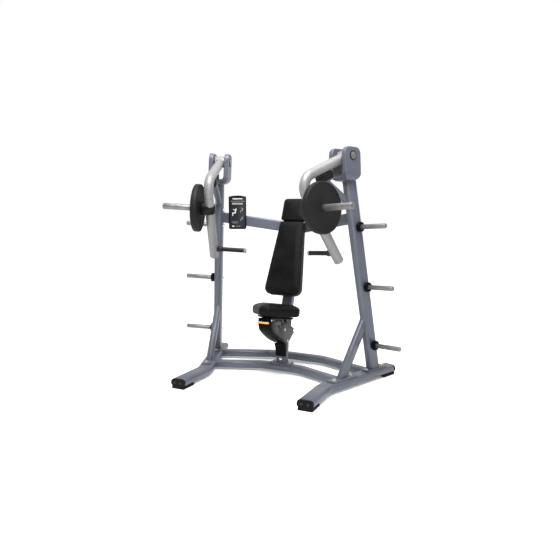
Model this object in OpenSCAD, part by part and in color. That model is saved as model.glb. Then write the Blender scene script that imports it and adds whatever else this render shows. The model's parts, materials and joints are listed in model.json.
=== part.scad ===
// Plate-loaded seated press machine: two overhead-pivot press arms on a welded tube frame,
// with weight storage pegs, a leaning back rest and a seat on a four-bar linkage.
// Millimetres. The machine faces -Y and +Z is up. Seen from the front, +X is to the right.
// Origin: middle of the footprint, on the floor.

/* [Side frames] */
// Distance from the middle to an upright's foot
side_x = 769; // [740:1:800]
// Place of an upright's foot behind the origin
side_y = 331; // [315:1:345]
// Angle that each side frame turns inwards towards the front
toe_in = 21.5; // [18:0.5:24]
// Angle that each side frame leans inwards at the top
lean_in = 3.3; // [2:0.1:5]
// Forward lean of an upright in its own plane
upright_lean = 8.9; // [7:0.1:10]
// Height at which an upright ends and its yoke starts
upright_top = 1620; // [1600:5:1640]
// Depth of an upright's flat oval section
upright_depth = 122; // [110:1:130]
// Width of an upright's flat oval section
upright_width = 66; // [60:1:72]

/* [Base] */
// Width of a floor rail
rail_w = 128; // [120:1:136]
// Height of a floor rail
rail_h = 62; // [56:1:66]
// Height of the rubber feet under the rails
foot_h = 18; // [14:1:24]
// Rail length behind the upright's foot
rail_behind = 195; // [185:1:220]
// Distance from the upright's foot to the rail's bend
rail_to_bend = 616; // [600:1:640]
// Rail length in front of its bend
rail_front = 359.5; // [340:0.5:370]
// Radius of the rail's bend
rail_bend_r = 230; // [200:5:280]
// Thickness of the rails' end caps
cap_t = 20; // [10:1:24]
// Fore and aft size of a base crossbar
bar_w = 84; // [70:1:90]
// Place of the front crossbar's middle
front_bar_y = 130; // [120:1:140]
// Half length of the front crossbar's straight middle
front_bar_half = 175; // [150:1:200]
// Place of the rear crossbar's middle
rear_bar_y = 497; // [485:1:505]
// Half length of the rear crossbar's straight middle
rear_bar_half = 235; // [200:1:260]

/* [Arms] */
// Distance of an arm's pivot in front of the upright's foot
pivot_f = 298; // [290:1:305]
// Height of an arm's pivot
pivot_h = 1810; // [1800:1:1820]
// Outside radius of an arm's tube
arm_r = 38; // [34:0.5:40]
// Angle of the upper arm below level
arm_drop = 21.4; // [18:0.1:24]
// Turn of the arm at its elbow
arm_turn = 102.8; // [98:0.1:106]
// Length of the upper arm to the elbow's corner
arm_upper = 550; // [530:1:570]
// Length of the lower arm from the elbow's corner
arm_lower = 722; // [700:1:740]
// Radius of the elbow
arm_bend_r = 107; // [90:1:120]
// Place of the weight horn along the lower arm
horn_at = 240; // [225:1:260]
// Place of the grip along the lower arm
grip_at = 650; // [630:1:665]
// Radius of a weight horn
horn_r = 24.5; // [23:0.1:25]
// Reach of a weight horn from the arm's centre line
horn_reach = 381; // [360:1:400]
// Reach of a grip from the arm's centre line
grip_reach = 282; // [270:1:295]
// Radius of a grip's rubber sleeve
grip_r = 18.5; // [16:0.5:20]

/* [Weight plates] */
// Radius of a weight plate
plate_r = 191; // [150:1:215]
// Thickness of a weight plate
plate_t = 48; // [30:1:55]
// Distance from the arm's centre line to a plate's inner face
plate_from = 72; // [71.5:0.5:80]

/* [Storage pegs] */
// Heights of the storage pegs along an upright
peg_heights = [290, 780, 1265]; // heights in millimetres
// Radius of a storage peg
peg_r = 19.5; // [18:0.5:22]
// Reach of a storage peg from the upright's centre line
peg_reach = 300; // [280:1:320]

/* [Back rest] */
// Backward lean of the back rest
pad_lean = 19.4; // [17:0.1:21]
// Place of the pads' middle plane at the back pad's lower edge
pad_y = 154; // [145:1:156]
// Height of the back pad's lower edge
pad_z = 670; // [660:1:680]
// Thickness of the back pad and head pad
pad_t = 80; // [60:1:82]
// Thickness of the boards behind the pads
board_t = 12; // [9:1:12]

/* [Seat] */
// Height of the seat pad's middle
seat_z = 560; // [555:1:562]
// Backward tilt of the seat
seat_tilt = 9; // [6:0.5:10]
// Thickness of the seat pad
seat_t = 100; // [80:1:102]
// Length of a seat link between its pivots
link_len = 150; // [145:1:155]
// Angle of a seat link above level with the seat raised
link_angle = 55; // [53:1:57]

/* [Hidden] */
$fn = 64;

right = 1;
left = -1;
far = 3000;                 // larger than anything here, for cutting planes
wall = 3;                   // wall of the frame's tubes
weld_gap = 0.02;            // seam of the butt weld after a bend

frame_colour = [0.47, 0.49, 0.55];
arm_colour = [0.70, 0.71, 0.71];
steel_colour = [0.66, 0.65, 0.63];
rubber_colour = [0.07, 0.07, 0.07];
pad_colour = [0.09, 0.09, 0.09];
plastic_colour = [0.05, 0.05, 0.05];
grey_colour = [0.27, 0.27, 0.28];
amber_colour = [0.80, 0.55, 0.22];

rail_mid = foot_h + rail_h / 2;          // height of the base tubes' centre
rail_top = foot_h + rail_h;
plate_8 = 8;                             // thickness of the welded foot plates
foot_top = rail_top + plate_8;

yoke_half = 84;                          // half width over the yoke's cheeks
yoke_gap = 46;                           // half width between the cheeks
yoke_f = [204, 388];                     // rear and front of the yoke
yoke_h = [upright_top, 1877];            // bottom and top of the yoke
yoke_floor = 42;                         // thickness of the yoke's bottom
pin_r = 16;                              // arm pivot pin
hub_r = 47;                              // arm's pivot sleeve
hub_half = 44;                           // half length of the pivot sleeve
running = 0.05;                          // radial clearance of a running fit
horn_root_r = horn_r - 0.5;              // horn inside its saddle, up to the plates' outer face
peg_root_r = peg_r - 0.5;                // peg inside its collar

brace_f = 410;                           // place of a brace's foot in front of the upright's
brace_lean = 36;
upright_at = [5, -4, 0];                 // the upright's centre line from its pegs' line
upright_r = 28;
upright_in = upright_at[0] - upright_width / 2;   // x of an upright's inner face
foot_plates = [[-2, 246], [407, 286]];   // place in front of the upright's foot, and length
middle_y = -33.4;                        // middle of the footprint, from the measured origin
saddle_r = 44;                           // band round the arm at the horn
saddle_half = 33;                        // half length of that band
saddle_hub_r = 56;
stop_gap = 0.3;                          // room between the arm and its rubber stop

beam_x = 600;                            // the crossbeam's ends, inside the uprights
beam_rise = 104;                         // rise of a beam half from middle to end
beam_mid_y = 508;
beam_mid_z = 1229;
beam_t = 50;
beam_h = 90;

tower_half = 46;
tower_d = 60;
tower_y = 148;                           // centre of the tower at its foot
tower_top = [172, 300];                  // y and z where the tower meets the post
post_lean = 17.75;
tower_lean = atan((tower_top[0] - tower_y) / (tower_top[1] - foot_top));
post_w = 97;
post_d = 62;

plate_in = 49;                           // inner face of the seat's side plates
plate_out = 54;
link_step = [-45, -38];                  // from the upper ground pivot to the lower one
link_a = [120, 350];                     // y and z of the upper ground pivot
link_b = link_a + link_len * [-cos(link_angle), sin(link_angle)];
link_pin_r = 8;
seat_y = 50;                             // y of the seat's widest point
lever_at = [-146, 500];                  // y and z of the release lever's shaft
tower_plate_y = 143;                     // middle of the tower's foot plate
placard_x = 484;                         // place of the placard along the beam's left half
placard_z = 1376;                        // height of the placard's middle
beam_slope = (beam_mid_y - (side_y - 154)) / beam_x;
stop_from = 212;                         // start of an arm's rubber stop, from the pivot
stop_len = 140;
stop_t = 58;
stop_w = 56;
strut_at = [288, 1464];                  // f and height where a stop's strut meets its upright
strut_rise = 31;

// ---------- shared shapes and places ----------

module rounded(w, h, r) {
    square([w - 2 * r, h], center = true);
    square([w, h - 2 * r], center = true);
    for (sx = [-1, 1], sy = [-1, 1])
        translate([sx * (w / 2 - r), sy * (h / 2 - r)]) circle(r);
}

module hollow(w, h, r, t = wall) {
    difference() {
        rounded(w, h, r);
        rounded(w - 2 * t, h - 2 * t, r - t);
    }
}

module ring(r_out, r_in) {
    difference() {
        circle(r_out);
        circle(r_in);
    }
}

// Extrudes a section along +X: the section's x becomes y, and its y becomes z
module along_x(length) {
    rotate([90, 0, 90]) linear_extrude(length) children();
}

// A tube along +X that turns left by an angle and goes straight on. The first child is its
// section, and the second is the section of the sleeve inside the weld after the bend.
module bent_tube(first, r, angle, second) {
    along_x(first) children(0);
    translate([first, r, 0]) rotate([0, 0, -90])
        rotate_extrude(angle = angle) translate([r, 0]) children(0);
    translate([first + r * sin(angle), r - r * cos(angle), 0]) rotate([0, 0, angle]) {
        translate([weld_gap, 0, 0]) along_x(second - weld_gap) children(0);
        translate([-8, 0, 0]) along_x(16) children(1);
    }
}

// Draws the right-hand piece, or its mirror image for the left
module on_side(side) {
    mirror([side < 0 ? 1 : 0, 0, 0]) children();
}

// Base frame of a side: x outwards, -y forwards along the rail
module base_frame(side) {
    on_side(side) translate([side_x, side_y, 0]) rotate([0, 0, -toe_in]) children();
}

// Side frame: as the base frame, leaning inwards at the top
module side_frame(side) {
    base_frame(side) rotate([0, -lean_in, 0]) children();
}

// Everything below a height in a side's base frame
module below(side, height) {
    base_frame(side) translate([-far / 2, -far / 2, -far + height]) cube(far);
}

// The outline of a side view, in f (forwards) and h, extruded across the side frame
module side_view(half) {
    rotate([90, 0, -90]) linear_extrude(2 * half, center = true) children();
}

// Arm frame: x along the upper arm, y on its lower side, z outwards
module arm_frame(side) {
    side_frame(side) translate([0, -pivot_f, pivot_h]) rotate([-90, 0, -90])
        rotate([0, 0, arm_drop]) children();
}

// A place along the lower arm, with z outwards and x along the arm
module on_lower_arm(side, along) {
    arm_frame(side)
        translate([arm_upper + along * cos(arm_turn), along * sin(arm_turn), 0])
            rotate([0, 0, arm_turn]) children();
}

module hex_bolt(r, head) {
    cylinder(r = 1.5 * r, h = head, $fn = 6);
    translate([0, 0, -1.5]) cylinder(r = 2 * r, h = 1.5);
}

// ---------- base ----------

rail_r = rail_h / 2 - 3;
rail_t = rail_bend_r * tan(toe_in / 2);      // from the rail's corner to the bend's ends

// The rail's own frame: x forwards along it, from its rear end
module rail_frame(side) {
    base_frame(side) translate([0, rail_behind, rail_mid]) rotate([0, 0, -90]) children();
}

module rail(side) {
    color(frame_colour) rail_frame(side)
        bent_tube(rail_behind + rail_to_bend - rail_t, rail_bend_r, toe_in, rail_front - rail_t) {
            hollow(rail_w, rail_h, rail_r);
            hollow(rail_w - 4, rail_h - 4, rail_r - 2, 2);
        }
}

module rail_end_caps() {
    color(rubber_colour) for (side = [right, left]) rail_frame(side) {
        translate([-cap_t, 0, 0]) along_x(cap_t) rounded(rail_w + 2, rail_h, rail_r);
        translate([rail_behind + rail_to_bend, 0, 0]) rotate([0, 0, toe_in])
            translate([rail_front, 0, 0]) along_x(cap_t) rounded(rail_w + 2, rail_h, rail_r);
    }
}

// Rubber feet under both ends of each rail
module foot_pads() {
    w = rail_w - 10;
    color(rubber_colour) for (side = [right, left]) {
        base_frame(side) translate([0, rail_behind + cap_t - 75, 0])
            linear_extrude(foot_h) rounded(w, 150, 10);
        base_frame(side) translate([0, -rail_to_bend, 0]) rotate([0, 0, toe_in])
            translate([0, -rail_front - cap_t + 75, 0]) linear_extrude(foot_h) rounded(w, 150, 10);
    }
}

// A crossbar whose halves bend forwards to meet the rails squarely
module bow_crossbar(y, half) {
    r = 300;
    t = r * tan(toe_in / 2);
    color(frame_colour) for (side = [right, left]) difference() {
        on_side(side) translate([0, y, rail_mid]) mirror([0, 1, 0])
            bent_tube(half - t, r, toe_in, 700) {
                hollow(bar_w, rail_h - 0.4, 22);
                hollow(bar_w - 4, rail_h - 4.4, 20, 2);
            }
        rail_frame(side) along_x(rail_behind + rail_to_bend - rail_t)
            rounded(rail_w, rail_h, rail_r);
        base_frame(side) translate([0, -far / 2, -far / 2]) cube(far);
    }
}

module front_crossbar() { bow_crossbar(front_bar_y, front_bar_half); }

module rear_crossbar() { bow_crossbar(rear_bar_y, rear_bar_half); }

module base_plates() {
    color(frame_colour) for (side = [right, left], p = foot_plates) base_frame(side)
        translate([0, -p[0], rail_top]) linear_extrude(plate_8) rounded(88, p[1], 14);
}

// ---------- uprights ----------

// Frame along an upright's centre line
module upright_frame(side) {
    side_frame(side) translate(upright_at) rotate([upright_lean, 0, 0])
        translate([0, 0, -20]) children();
}

module upright_solid(side) {
    upright_frame(side) linear_extrude(upright_top + 200)
        rounded(upright_width, upright_depth, upright_r);
}

// Reaches up round the yoke's rounded bottom
module upright(side) {
    color(frame_colour) difference() {
        upright_frame(side) linear_extrude(upright_top + 200)
            hollow(upright_width, upright_depth, upright_r);
        below(side, foot_top);
        side_frame(side) {
            translate([-far / 2, -far / 2, upright_top + 42]) cube(far);
            side_view(yoke_half + 1) cheek_outline();
        }
    }
}

// Everything behind the middle plane of an upright
module behind_upright(side) {
    upright_frame(side) translate([-far / 2, 0, -far / 2]) cube(far);
}

module brace(side) {
    color(frame_colour) difference() {
        side_frame(side) translate([0, -brace_f, foot_top]) rotate([-brace_lean, 0, 0])
            translate([0, 0, -80]) linear_extrude(700) hollow(56, 80, 24);
        below(side, foot_top);
        upright_solid(side);
        behind_upright(side);
    }
}

// ---------- yokes ----------

module slot_profile(half, bottom, r) {
    translate([-half, bottom + r]) square([2 * half, 400]);
    translate([-(half - r), bottom]) square([2 * (half - r), r + 1]);
    for (s = [-1, 1]) translate([s * (half - r), bottom + r]) circle(r);
}

// Rounded cheek outline in f and h
module cheek_outline() {
    f0 = yoke_f[0];
    f1 = yoke_f[1];
    h0 = yoke_h[0];
    h1 = yoke_h[1];
    r_top = 52;
    r_low = 62;
    translate([f0, h0 + r_low]) square([f1 - f0, h1 - h0 - r_low - r_top]);
    translate([f0 + r_low, h0]) square([f1 - f0 - 2 * r_low, h1 - h0]);
    translate([f0 + r_top, h1 - r_top - 1]) square([f1 - f0 - 2 * r_top, r_top + 1]);
    for (f = [f0 + r_low, f1 - r_low]) translate([f, h0 + r_low]) circle(r_low);
    for (f = [f0 + r_top, f1 - r_top]) translate([f, h1 - r_top]) circle(r_top);
}

module yoke(side) {
    color(frame_colour) side_frame(side) difference() {
        intersection() {
            translate([0, -yoke_f[0] + 10, 0]) rotate([90, 0, 0])
                linear_extrude(yoke_f[1] - yoke_f[0] + 20) difference() {
                    slot_profile(yoke_half, yoke_h[0], 58);
                    slot_profile(yoke_gap, yoke_h[0] + yoke_floor, 26);
                }
            side_view(yoke_half + 10) cheek_outline();
        }
        translate([-yoke_half - 10, -pivot_f, pivot_h]) rotate([0, 90, 0])
            cylinder(r = pin_r, h = 2 * yoke_half + 20);
    }
}

module pivot_pins() {
    color(steel_colour) for (side = [right, left]) side_frame(side)
        translate([-yoke_half, -pivot_f, pivot_h]) rotate([0, 90, 0])
            cylinder(r = pin_r, h = 2 * yoke_half);
}

module pivot_caps() {
    color(steel_colour) for (side = [right, left], end = [-1, 1]) side_frame(side)
        translate([end * yoke_half, -pivot_f, pivot_h]) rotate([0, end * 90, 0]) difference() {
            union() {
                cylinder(r = 29, h = 3);
                translate([0, 0, 3]) cylinder(r = 24, h = 3);
            }
            translate([-30, -2.5, 4.4]) cube([60, 5, 10]);
        }
}

// ---------- upper crossbeam and arm stops ----------

module beam_solid(w, h, r) {
    run = [beam_x, (side_y - 154) - beam_mid_y, beam_rise];
    flat = norm([run[0], run[1]]);
    for (side = [right, left]) on_side(side) difference() {
        translate([0, beam_mid_y, beam_mid_z]) rotate([0, 0, atan2(run[1], run[0])])
            rotate([0, -atan2(run[2], flat), 0]) translate([-60, 0, 0]) along_x(820) rounded(w, h, r);
        translate([-far, -far / 2, -far / 2]) cube(far);
        side_frame(right) translate([upright_in, -far / 2, -far / 2]) cube(far);
    }
}

module upper_crossbeam() {
    color(frame_colour) difference() {
        beam_solid(beam_t, beam_h, 14);
        beam_solid(beam_t - 2 * wall, beam_h - 2 * wall, 14 - wall);
    }
}

// Rubber stop under each upper arm: x along the arm, y away from it, z outwards
module stop_frame(side) {
    arm_frame(side) translate([stop_from, arm_r + stop_gap, 0]) children();
}

module stop_bumpers() {
    color(rubber_colour) for (side = [right, left]) stop_frame(side)
        translate([0, stop_t / 2, 0]) along_x(stop_len) rounded(stop_t, stop_w, 8);
}

// A plate under each stop and a strut from the upright's front to it
module stop_brackets() {
    color(frame_colour) for (side = [right, left]) {
        stop_frame(side) translate([0, stop_t + plate_8 / 2, 0])
            along_x(stop_len) rounded(plate_8, stop_w + 6, 3);
        difference() {
            side_frame(side) translate([0, -strut_at[0], strut_at[1]])
                rotate([90 - strut_rise, 0, 0]) linear_extrude(420) hollow(46, 58, 16);
            stop_frame(side) translate([-far / 2, -far + stop_t + plate_8, -far / 2]) cube(far);
            upright_solid(side);
            behind_upright(side);
        }
    }
}

// ---------- storage pegs ----------

// A place on the upright's axis at a height, with z outwards
module at_upright(side, h) {
    side_frame(side) translate([0, -h * tan(upright_lean), h]) rotate([0, 90, 0]) children();
}

module storage_pegs() {
    from = upright_at[0] + upright_width / 2;
    color(steel_colour) for (side = [right, left], h = peg_heights) at_upright(side, h)
        rotate_extrude() polygon([
            [0, from], [peg_root_r, from], [peg_root_r, plate_from],
            [peg_r, plate_from], [peg_r, peg_reach - 3], [peg_r - 3, peg_reach],
            [0, peg_reach]]);
}

module peg_collars() {
    from = upright_at[0] + upright_width / 2;
    color(rubber_colour) for (side = [right, left], h = peg_heights) at_upright(side, h)
        rotate_extrude() polygon([
            [peg_root_r, from], [32, from], [32, from + 6], [40, from + 10],
            [40, plate_from - 5], [36, plate_from], [peg_root_r, plate_from]]);
}

// Bolts of the foot plates, the tower's plate and the pegs
module frame_bolts() {
    color(steel_colour) {
        for (side = [right, left]) {
            for (f = [-100, 100, 310, 504])
                base_frame(side) translate([0, -f, foot_top + 1.5]) hex_bolt(8, 9);
            for (h = concat(peg_heights, [1400])) at_upright(side, h)
                translate([0, 0, upright_in - 1.5]) rotate([180, 0, 0]) hex_bolt(8, 13);
        }
        for (x = [-76, 76]) translate([x, tower_plate_y, foot_top + 1.5]) hex_bolt(8, 9);
        tower_frame() translate([0, -tower_d / 2 - 1.5, 34]) rotate([90, 0, 0]) hex_bolt(7, 7);
    }
}

// ---------- press arms ----------

// The bent tube with the pivot sleeve welded to its upper end
module arm_tube(side) {
    t = arm_bend_r * tan(arm_turn / 2);
    color(arm_colour) arm_frame(side) difference() {
        union() {
            bent_tube(arm_upper - t, arm_bend_r, arm_turn, arm_lower - t) {
                ring(arm_r, arm_r - wall);
                ring(arm_r - 2, arm_r - 4);
            }
            translate([0, 0, -hub_half]) cylinder(r = hub_r, h = 2 * hub_half);
        }
        translate([0, 0, -hub_half - 1]) cylinder(r = pin_r + 6, h = 2 * hub_half + 2);
    }
}

// Flanged bushes at both ends of the sleeve, turning on the pin
module hub_bushes(side) {
    color(amber_colour) arm_frame(side) for (end = [0, 1]) mirror([0, 0, end])
        rotate_extrude() polygon([
            [pin_r + running, hub_half - 26], [pin_r + 6, hub_half - 26], [pin_r + 6, hub_half],
            [pin_r + 14, hub_half], [pin_r + 14, yoke_gap - 0.4], [pin_r + running, yoke_gap - 0.4]]);
}

module arm_end_cap(side) {
    color(arm_colour) on_lower_arm(side, arm_lower) rotate([0, 90, 0]) rotate_extrude() {
        square([arm_r, 4]);
        translate([0, 3]) square([arm_r - 12, 11]);
        translate([arm_r - 12, 2]) intersection() {
            circle(12);
            square(12);
        }
    }
}

module arm_bar(side, at, r) {
    on_lower_arm(side, at) translate([-150, 0, 0]) rotate([0, 90, 0]) cylinder(r = r, h = 300);
}

module horn(side) {
    color(steel_colour) difference() {
        on_lower_arm(side, horn_at) rotate_extrude() polygon([
            [0, 0], [horn_root_r, 0], [horn_root_r, plate_from + plate_t],
            [horn_r, plate_from + plate_t], [horn_r, horn_reach - 3], [horn_r - 3, horn_reach],
            [0, horn_reach]]);
        arm_bar(side, horn_at, arm_r);
    }
}

// Black collar that wraps the arm and carries the plates' inner stop
module horn_saddle(side) {
    color(plastic_colour) difference() {
        on_lower_arm(side, horn_at) {
            translate([-saddle_half, 0, 0]) rotate([0, 90, 0])
                cylinder(r = saddle_r, h = 2 * saddle_half);
            cylinder(r = saddle_hub_r, h = plate_from - 4);
            translate([0, 0, plate_from - 5]) cylinder(r = saddle_hub_r - 4, h = 4.5);
        }
        arm_bar(side, horn_at, arm_r);
        on_lower_arm(side, horn_at) cylinder(r = horn_root_r, h = 200);
    }
}

// Steel rod of a grip with its root socket, welded to the arm's inner side
module grip_rod(side) {
    color(plastic_colour) difference() {
        on_lower_arm(side, grip_at) mirror([0, 0, 1]) {
            cylinder(r = 12.5, h = grip_reach - 20);
            cylinder(r = 25, h = arm_r + 32);
        }
        arm_bar(side, grip_at, arm_r);
    }
}

module grip_sleeve(side) {
    from = arm_r + 32;
    color(rubber_colour) on_lower_arm(side, grip_at) mirror([0, 0, 1]) rotate_extrude() polygon([
        [12.5, from], [grip_r + 2, from], [grip_r + 2, from + 4], [grip_r, from + 6],
        [grip_r, grip_reach - 20], [12.5, grip_reach - 20]]);
}

module grip_cap(side) {
    color(arm_colour) on_lower_arm(side, grip_at) mirror([0, 0, 1])
        translate([0, 0, grip_reach - 20]) rotate_extrude() polygon([
            [0, 0], [grip_r + 1.5, 0], [grip_r + 1.5, 16], [grip_r - 2.5, 20], [0, 20]]);
}

module weight_plate(side) {
    face = 2.5;
    color(rubber_colour) on_lower_arm(side, horn_at) translate([0, 0, plate_from])
        rotate_extrude($fn = 128) difference() {
            polygon([
                [horn_r + 0.3, 0], [plate_r - 9, 0], [plate_r - 2.6, 2.6], [plate_r, 9],
                [plate_r, plate_t - 9], [plate_r - 2.6, plate_t - 2.6], [plate_r - 9, plate_t],
                [horn_r + 0.3, plate_t]]);
            translate([58, -1]) square([plate_r - 74, face + 1]);
            translate([horn_r + 10, plate_t - face]) square([plate_r - horn_r - 26, face + 1]);
        }
}

// ---------- seat tower and back post ----------

// Frame on the tower's axis, z upwards along its lean
module tower_frame() {
    translate([0, tower_y, foot_top]) rotate([-tower_lean, 0, 0]) children();
}

module post_frame() {
    translate([0, tower_top[0], tower_top[1]]) rotate([-post_lean, 0, 0]) children();
}

module between(low, high) {
    translate([-far / 2, -far / 2, low]) cube([far, far, high - low]);
}

module tower_solid() {
    tower_frame() translate([0, 0, -40]) linear_extrude(400) rounded(2 * tower_half, tower_d, 10);
}

module post_solid() {
    post_frame() translate([0, 0, -40]) linear_extrude(1100) rounded(post_w, post_d, 16);
}

module seat_tower() {
    color(frame_colour) {
        intersection() {
            tower_frame() translate([0, 0, -40]) linear_extrude(400)
                hollow(2 * tower_half, tower_d, 10, 4);
            between(foot_top, tower_top[1]);
        }
        translate([0, tower_plate_y, rail_top]) linear_extrude(plate_8) rounded(200, 96, 12);
    }
}

module back_post() {
    color(frame_colour) difference() {
        intersection() {
            post_frame() translate([0, 0, -40]) linear_extrude(1100) hollow(post_w, post_d, 16);
            between(tower_top[1], beam_mid_z + 20);
        }
        beam_solid(beam_t, beam_h, 14);
    }
}

// Black cover on the front of the tower
module lower_shroud() {
    outer = [[122, 146], [112, 214], [101, 240], [92, 262], [160, 262], [160, 146]];
    inner = [[126, 140], [116, 215], [105, 241], [95, 266], [170, 266], [170, 140]];
    color(plastic_colour) difference() {
        translate([-tower_half, 0, 0]) along_x(2 * tower_half) polygon(outer);
        translate([-tower_half + 3, 0, 0]) along_x(2 * tower_half - 6) polygon(inner);
        tower_solid();
    }
}

// ---------- back rest ----------

// Pad frame: z up along the pads, -y towards the user
module pad_frame() {
    translate([0, pad_y, pad_z]) rotate([-pad_lean, 0, 0]) children();
}

module back_outline(inset = 0) {
    hull() {
        for (s = [-1, 1]) {
            translate([s * (107 - inset), 62]) circle(60 - inset / 4, $fn = 32);
            translate([s * (96 - inset), 645]) circle(14 - inset / 4, $fn = 32);
        }
    }
}

module head_outline(inset = 0) {
    hull() {
        for (s = [-1, 1]) {
            translate([s * (95 - inset), 679]) circle(14 - inset / 4, $fn = 32);
            translate([s * (76 - inset), 840]) circle(28 - inset / 4, $fn = 32);
        }
    }
}

// A slab in the pad frame between two depths
module pad_slab(front, back) {
    pad_frame() translate([0, back, 0]) rotate([90, 0, 0]) linear_extrude(back - front) children();
}

module back_pad() {
    color(pad_colour) pad_slab(-pad_t / 2, pad_t / 2) back_outline();
}

module head_pad() {
    color(pad_colour) pad_slab(-pad_t / 2, pad_t / 2) head_outline();
}

module pad_boards() {
    color(plastic_colour) pad_slab(pad_t / 2, pad_t / 2 + board_t) {
        back_outline(24);
        head_outline(24);
    }
}

// Spacers between the boards and the post and beam, and the arm of the head pad
module pad_brackets() {
    back = pad_t / 2 + board_t;
    color(frame_colour) difference() {
        union() {
            translate([-30, 180, 770]) cube([60, 150, 60]);
            translate([-45, 300, beam_mid_z - 36]) cube([90, 170, 50]);
            pad_slab(back, back + 8) translate([-30, 560]) square([60, 250]);
        }
        pad_frame() translate([-far / 2, -far + back, -far / 2]) cube(far);
        post_solid();
        beam_solid(beam_t, beam_h, 14);
    }
}

// ---------- placard ----------

// On the left half of the beam: x along it, -y to the front, z up
module placard_place() {
    on_side(left) translate([placard_x, beam_mid_y - placard_x * beam_slope, placard_z])
        rotate([0, 0, -atan(beam_slope)]) translate([0, -beam_t / 2 - 0.2, 0]) children();
}

module arched(w, h, r) {
    intersection() {
        rounded(w, h, r);
        translate([0, h / 2 - 300]) circle(300, $fn = 128);
    }
}

module placard_frame() {
    color(plastic_colour) placard_place() rotate([90, 0, 0]) difference() {
        linear_extrude(14) arched(154, 295, 16);
        translate([0, 0, 11]) linear_extrude(10) arched(134, 273, 9);
    }
}

module placard_panel() {
    color(grey_colour) placard_place() rotate([90, 0, 0])
        translate([0, 0, 11]) linear_extrude(2) arched(134, 273, 9);
}

// ---------- seat ----------

// Seat frame: -y towards the nose, z up through the pad
module seat_frame() {
    translate([0, seat_y, seat_z]) rotate([-seat_tilt, 0, 0]) children();
}

module seat_outline(inset = 0) {
    hull() for (s = [-1, 1]) {
        translate([s * 26, -222]) circle(32 - inset, $fn = 32);
        translate([s * 166, -22]) circle(54 - inset, $fn = 32);
        translate([s * 140, 32]) circle(58 - inset, $fn = 32);
    }
}

module seat_pad() {
    color(pad_colour) seat_frame() translate([0, 0, -seat_t / 2])
        linear_extrude(seat_t) seat_outline();
}

module seat_board() {
    color(plastic_colour) seat_frame() translate([0, 0, -seat_t / 2 - board_t])
        linear_extrude(board_t) seat_outline(31);
}

module above_board() {
    seat_frame() translate([-far / 2, -far / 2, -seat_t / 2 - board_t]) cube(far);
}

// A round hole or boss in a side view, at a y and z
module bore_at(at, r) {
    translate([at[0], at[1]]) circle(r);
}

// Outline of the carriage's side plates, in y and z
side_outline = [
    [-160, 560], [-160, 475], [-128, 412], [-70, 364], [40, 300], [112, 262], [184, 271],
    [236, 304], [284, 327], [262, 344], [284, 360], [225, 396], [228, 456], [174, 470],
    [163, 432], [112, 441], [64, 471], [54, 560]];

module seat_side_plates() {
    color(grey_colour) difference() {
        for (s = [right, left]) on_side(s) {
            translate([plate_in, 0, 0]) along_x(plate_out - plate_in) difference() {
                polygon(side_outline);
                bore_at(link_b, link_pin_r);
                bore_at(link_b + link_step, link_pin_r);
                bore_at(lever_at, 6);
            }
            seat_frame() translate([24, -190, -seat_t / 2 - board_t - 5]) cube([27, 180, 5]);
        }
        above_board();
    }
}

// Curved front cover of the seat carriage, with slots for the release lever
module seat_shroud() {
    outer = [
        [-178, 560], [-180, 480], [-174, 450], [-157, 425], [-100, 380], [-15, 325], [74, 280],
        [100, 273], [53, 314], [-63, 377], [-118, 423], [-145, 478], [-145, 560]];
    inner = [
        [-174.5, 570], [-176.5, 480], [-170.5, 452], [-154.5, 428], [-98, 383.5], [-13, 328.5],
        [76, 283.5], [140, 262], [140, 570]];
    half = plate_out + 2.5;
    color(plastic_colour) difference() {
        translate([-half, 0, 0]) along_x(2 * half) polygon(outer);
        translate([-plate_out, 0, 0]) along_x(2 * plate_out) polygon(inner);
        for (s = [right, left]) on_side(s) translate([plate_in, 0, 0])
            along_x(plate_out - plate_in) polygon(side_outline);
        for (s = [-1, 1]) translate([s * 26 - 6, -200, lever_at[1] - 10]) cube([12, 60, 34]);
        above_board();
    }
}

module link_bar(from, to, r) {
    translate(from) circle(r);
    translate(to) circle(r);
    translate(from) rotate(atan2(to[1] - from[1], to[0] - from[0]))
        translate([0, -r]) square([norm(to - from), 2 * r]);
}

// Two straps and the sleeve that joins them at the carriage's end
module seat_link(a, b, clearance) {
    color(frame_colour) difference() {
        union() {
            for (s = [right, left]) on_side(s) translate([27, 0, 0]) along_x(6) link_bar(a, b, 13);
            translate([-plate_in + 0.5, 0, 0]) along_x(2 * plate_in - 1) bore_at(b, 13);
        }
        translate([-60, 0, 0]) along_x(120) bore_at(a, link_pin_r + running);
        translate([-60, 0, 0]) along_x(120) bore_at(b, link_pin_r + clearance);
    }
}

module upper_link() { seat_link(link_a, link_b, running); }

module lower_link() { seat_link(link_a + link_step, link_b + link_step, 0.3); }

// Ears on the front of the tower and post that carry the links
module link_bracket() {
    a = link_a;
    b = link_a + link_step;
    color(frame_colour) difference() {
        for (s = [right, left]) on_side(s) translate([20, 0, 0]) along_x(6) {
            bore_at(a, 16);
            bore_at(b, 15);
            polygon([[200, 396], [200, 300], b + [4, -14.4], b + [-9.5, 11.6], a + [-10, 12.4]]);
        }
        for (p = [a, b]) translate([-60, 0, 0]) along_x(120) bore_at(p, link_pin_r);
        tower_solid();
        post_solid();
    }
}

module link_ground_pins() {
    color(steel_colour) for (p = [link_a, link_a + link_step])
        translate([-36, 0, 0]) along_x(72) bore_at(p, link_pin_r);
}

module carriage_pins() {
    color(steel_colour) for (p = [link_b, link_b + link_step]) {
        translate([-plate_out, 0, 0]) along_x(2 * plate_out) bore_at(p, link_pin_r);
        for (s = [right, left]) on_side(s) translate([plate_out, 0, 0]) along_x(4) bore_at(p, 12);
    }
}

module lever_shaft() {
    color(steel_colour) translate([-plate_out, 0, 0]) along_x(2 * plate_out) bore_at(lever_at, 6);
}

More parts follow.
